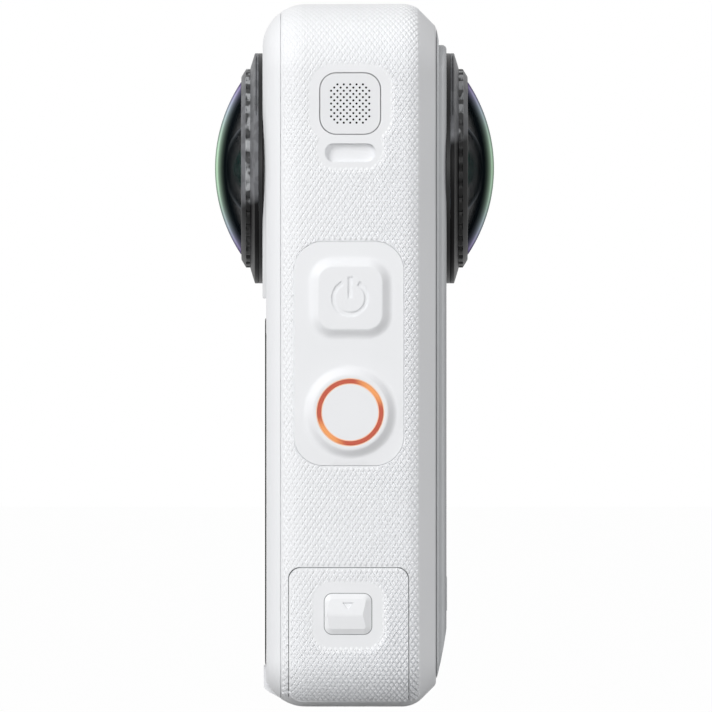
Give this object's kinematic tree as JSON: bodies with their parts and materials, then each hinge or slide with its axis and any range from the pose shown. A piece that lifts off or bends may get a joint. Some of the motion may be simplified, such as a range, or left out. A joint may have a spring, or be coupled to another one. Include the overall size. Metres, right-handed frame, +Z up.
{
  "type": "360 degree camera",
  "caption": "Slim upright 360 degree camera: fisheye lens under a twist-off domed guard on each broad face, side buttons, touchscreen, slide-out battery and a tripod thread.",
  "frame": {"origin": "mouth of the tripod thread, in the middle of the flat base", "axes": "+Z up; +X out of the front lens, -X out of the rear lens on the screen's side; -Y is the narrow side with the buttons and the battery cap"},
  "size_m": [0.0454, 0.0471, 0.1138],
  "materials": {
    "white_frame": "fine moulded ABS, textured grip band",
    "white_cover": "smooth satin moulded shell",
    "white_silicone": "soft-touch silicone",
    "orange_ring": "translucent orange light ring",
    "black_ring": "satin black glass-filled nylon",
    "barrel_black": "matt anti-reflection black",
    "guard_glass": "coated optical glass",
    "lens_glass": "coated optical glass",
    "screen_glass": "black-backed cover glass",
    "display": "display module",
    "status_lens": "diffusing lamp lens",
    "seal_rubber": "black silicone seal",
    "mic_mesh_steel": "blackened woven mesh",
    "circuit_board": "solder-masked laminate",
    "plated_steel": "nickel-plated steel",
    "magnesium": "cast magnesium alloy",
    "spreader_aluminium": "rolled aluminium",
    "insert_steel": "turned stainless steel",
    "inner_plastic": "black moulded nylon",
    "battery_wrap": "wrapped lithium cell",
    "contact_gold": "gold-plated contacts"
  },
  "bodies": {
    "root": {"centre_frame": "white_frame", "rear_cover": "white_cover", "front_cover": "white_cover", "status_window": "status_lens", "touch_glass": "screen_glass", "display_module": "display", "inner_chassis": "magnesium", "chassis_screws": "plated_steel", "tripod_insert": "insert_steel", "lens_screws": "plated_steel", "mic_cap": "white_cover", "mic_mesh": "mic_mesh_steel", "microphone": "circuit_board", "button_pad": "white_silicone", "button_board": "circuit_board", "dome_switches": "plated_steel", "battery_bay": "inner_plastic", "battery_contacts": "contact_gold", "port_pin": "plated_steel", "port_bezel": "inner_plastic", "main_board": "circuit_board", "board_screws": "plated_steel", "board_shield": "plated_steel", "heat_spreader": "spreader_aluminium", "usb_socket": "plated_steel", "card_slot": "plated_steel", "memory_card": "inner_plastic", "speaker": "inner_plastic", "front_sensor_board": "circuit_board", "front_lens_barrel": "barrel_black", "front_inner_lenses": "lens_glass", "front_fisheye_lens": "lens_glass", "front_lens_mount": "black_ring", "rear_sensor_board": "circuit_board", "rear_lens_barrel": "barrel_black", "rear_inner_lenses": "lens_glass", "rear_fisheye_lens": "lens_glass", "rear_lens_mount": "black_ring"},
    "front_guard": {"front_guard_ring": "black_ring", "front_guard_seal": "seal_rubber", "front_guard_dome": "guard_glass"},
    "rear_guard": {"rear_guard_ring": "black_ring", "rear_guard_seal": "seal_rubber", "rear_guard_dome": "guard_glass"},
    "power_button": {"power_button": "white_silicone"},
    "record_button": {"record_button": "white_silicone", "record_ring": "orange_ring"},
    "battery_pack": {"battery_cap": "white_frame", "cap_liner": "inner_plastic", "cap_gasket": "seal_rubber", "battery_cell": "battery_wrap", "latch_spring": "plated_steel"},
    "battery_latch": {"battery_latch": "white_cover"},
    "port_door": {"port_door": "white_frame", "port_gasket": "seal_rubber"}
  },
  "joints": [
    {"name": "front_guard_twist", "type": "hinge", "parent": "root", "child": "front_guard", "pos_m": [0.0169, 0, 0.0873], "axis": [1, 0, 0], "range_deg": [0, 30]},
    {"name": "rear_guard_twist", "type": "hinge", "parent": "root", "child": "rear_guard", "pos_m": [-0.0169, 0, 0.0873], "axis": [-1, 0, 0], "range_deg": [0, 30]},
    {"name": "power_press", "type": "slide", "parent": "root", "child": "power_button", "axis": [0, 1, 0], "range_m": [0, 0.0004], "stiffness_N_per_m": 6000, "springref_m": -0.0001},
    {"name": "record_press", "type": "slide", "parent": "root", "child": "record_button", "axis": [0, 1, 0], "range_m": [0, 0.0004], "stiffness_N_per_m": 6000, "springref_m": -0.0001},
    {"name": "battery_slide", "type": "slide", "parent": "root", "child": "battery_pack", "axis": [0, -1, 0], "range_m": [0, 0.034]},
    {"name": "latch_slide", "type": "slide", "parent": "battery_pack", "child": "battery_latch", "axis": [0, 0, -1], "range_m": [0, 0.0016], "stiffness_N_per_m": 500, "springref_m": -0.0005, "deforming": ["latch_spring"]},
    {"name": "port_door_swing", "type": "hinge", "parent": "root", "child": "port_door", "pos_m": [-0.0038, 0.0222, 0.0405], "axis": [0, 0, 1], "range_deg": [0, 95]}
  ]
}
